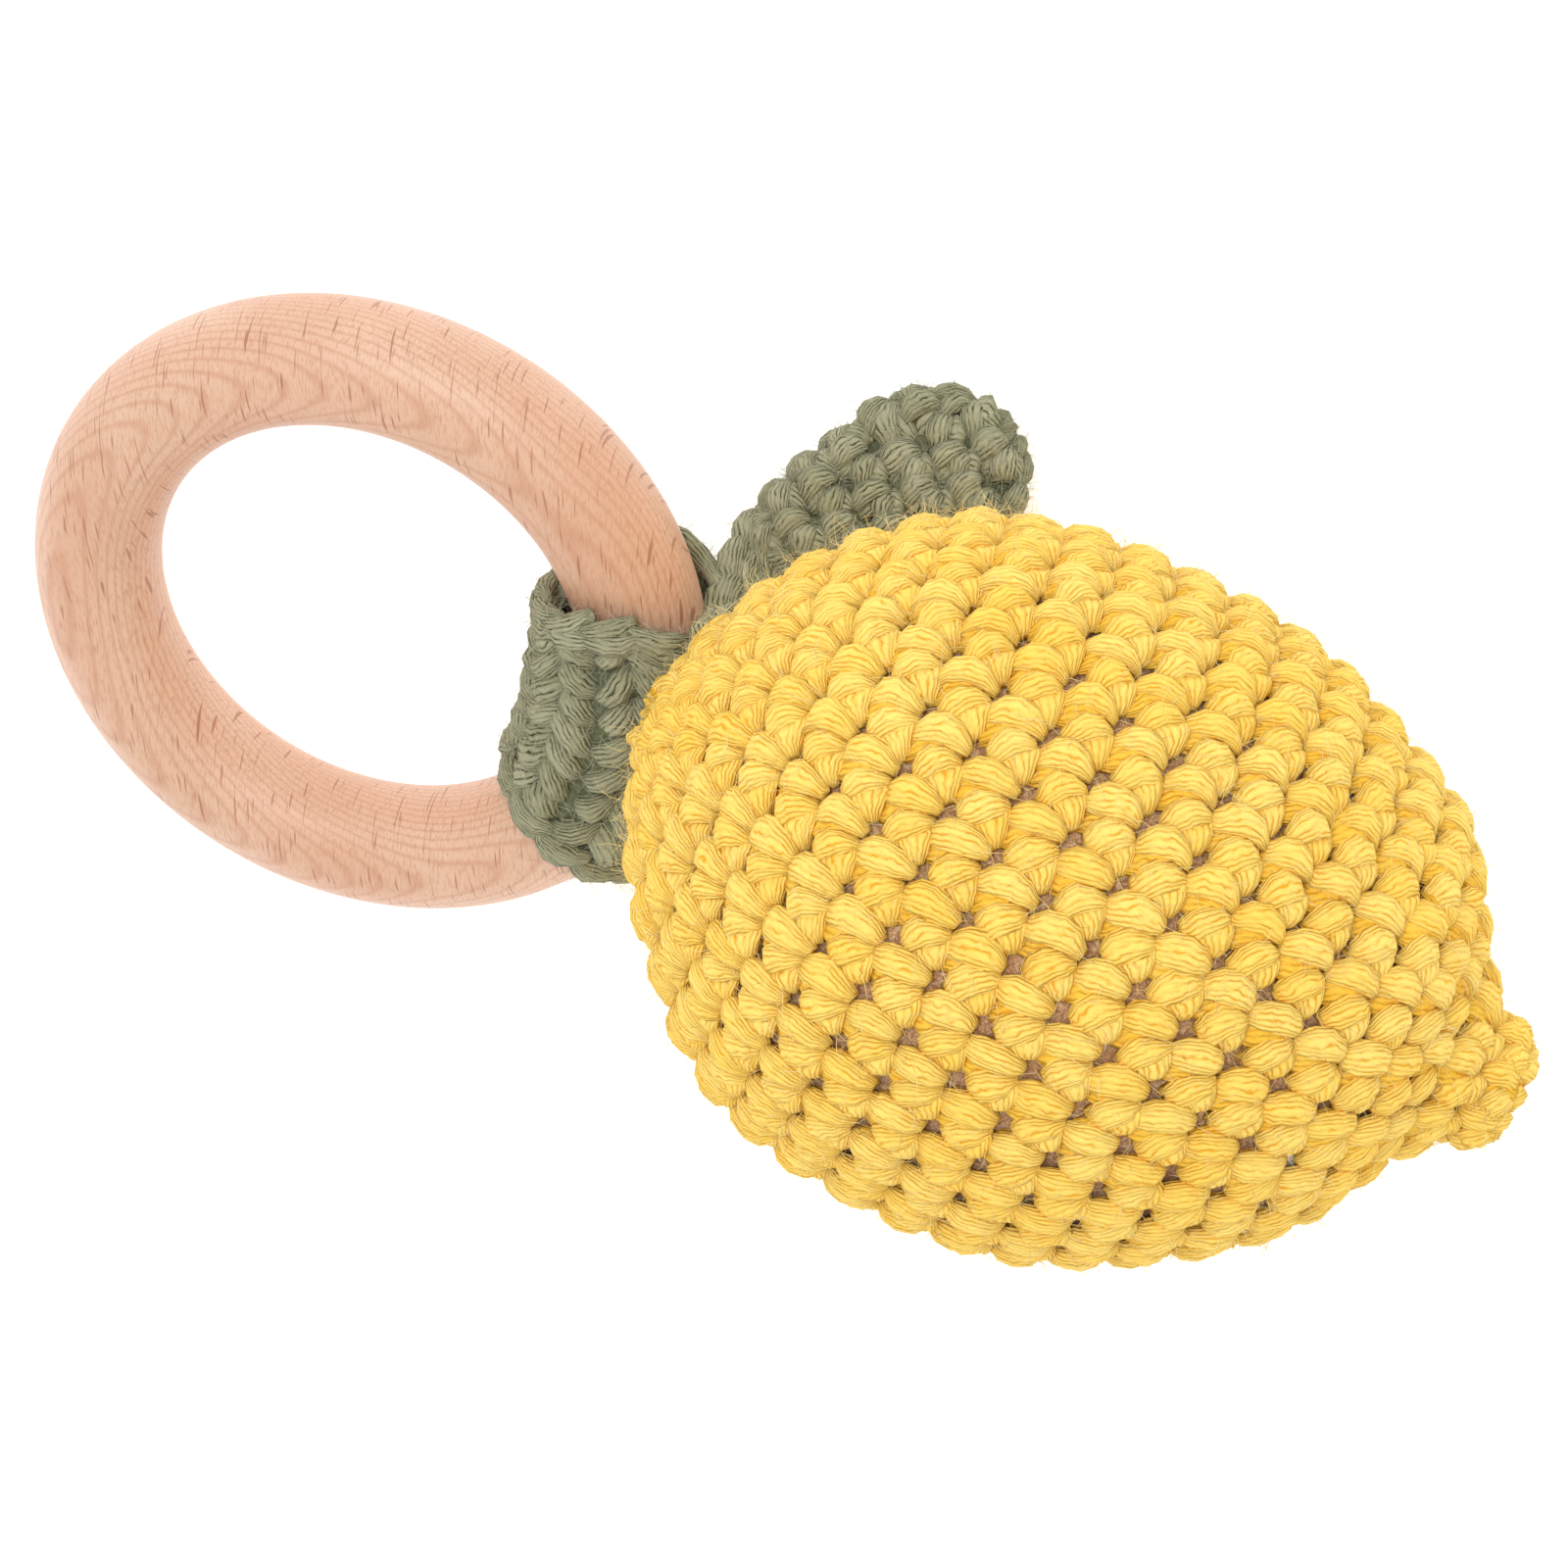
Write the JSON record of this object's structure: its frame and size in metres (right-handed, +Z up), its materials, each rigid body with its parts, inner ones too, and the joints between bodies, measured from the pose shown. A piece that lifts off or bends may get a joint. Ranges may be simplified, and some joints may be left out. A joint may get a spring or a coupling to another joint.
{
  "type": "baby rattle",
  "caption": "Stuffed crochet lemon rattle with a leaf, held by a crochet band to a wooden teething ring that turns in the band and swings on it.",
  "frame": {"origin": "on the table under the middle of the rattle's bounding box", "axes": "+X along the lemon from its crown at the ring to its tip, +Z up from the table it lies on"},
  "size_m": [0.1568, 0.0782, 0.0691],
  "materials": {
    "beech": "fine sanded, lightly waxed",
    "sage_yarn": "soft cotton yarn",
    "yellow_yarn": "soft cotton yarn",
    "lining_cloth": "plain woven cloth",
    "fibre_filling": "loose fibre wadding",
    "capsule_plastic": "moulded, matt",
    "bead_plastic": "smooth"
  },
  "bodies": {
    "lemon": {"lemon_cover": "yellow_yarn", "crown_closing_yarn": "yellow_yarn", "tip_starting_loop": "yellow_yarn", "lining_bag": "lining_cloth", "crown_wad": "fibre_filling", "tip_wad": "fibre_filling", "capsule_inner_half": "capsule_plastic", "capsule_outer_half": "capsule_plastic", "band_seam_yarn": "sage_yarn", "leaf_seam_yarn": "sage_yarn"},
    "band": {"ring_band": "sage_yarn"},
    "ring": {"wooden_ring": "beech"},
    "leaf": {"leaf_cover": "sage_yarn", "leaf_filling": "fibre_filling"},
    "bead_1": {"bead_1": "bead_plastic"},
    "bead_2": {"bead_2": "bead_plastic"},
    "bead_3": {"bead_3": "bead_plastic"},
    "bead_4": {"bead_4": "bead_plastic"},
    "bead_5": {"bead_5": "bead_plastic"},
    "bead_6": {"bead_6": "bead_plastic"}
  },
  "joints": [
    {"name": "ring_swing", "type": "hinge", "parent": "lemon", "child": "band", "pos_m": [-0.01475, -0.0065, 0.0179], "axis": [0, 0.9157, 0.4019], "range_deg": [-45, 20], "deforming": ["band_seam_yarn"]},
    {"name": "ring_spin", "type": "hinge", "parent": "band", "child": "ring", "pos_m": [-0.0434, -0.0065, 0.0179], "axis": [0, -0.4019, 0.9157], "continuous": true},
    {"name": "leaf_flop", "type": "hinge", "parent": "lemon", "child": "leaf", "pos_m": [-0.0101, 0.0134, 0.01313], "axis": [-0.8048, 0.5733, -0.1537], "range_deg": [0, 55], "deforming": ["leaf_seam_yarn"]},
    {"name": "bead_1_hop", "type": "slide", "parent": "lemon", "child": "bead_1", "axis": [0, 0, 1], "range_m": [0, 0.0163]},
    {"name": "bead_2_hop", "type": "slide", "parent": "lemon", "child": "bead_2", "axis": [0, 0, 1], "range_m": [0, 0.0163]},
    {"name": "bead_3_hop", "type": "slide", "parent": "lemon", "child": "bead_3", "axis": [0, 0, 1], "range_m": [0, 0.0163]},
    {"name": "bead_4_hop", "type": "slide", "parent": "lemon", "child": "bead_4", "axis": [0, 0, 1], "range_m": [0, 0.0163]},
    {"name": "bead_5_hop", "type": "slide", "parent": "lemon", "child": "bead_5", "axis": [0, 0, 1], "range_m": [0, 0.0163]},
    {"name": "bead_6_hop", "type": "slide", "parent": "lemon", "child": "bead_6", "axis": [0, 0, 1], "range_m": [0, 0.0163]}
  ]
}
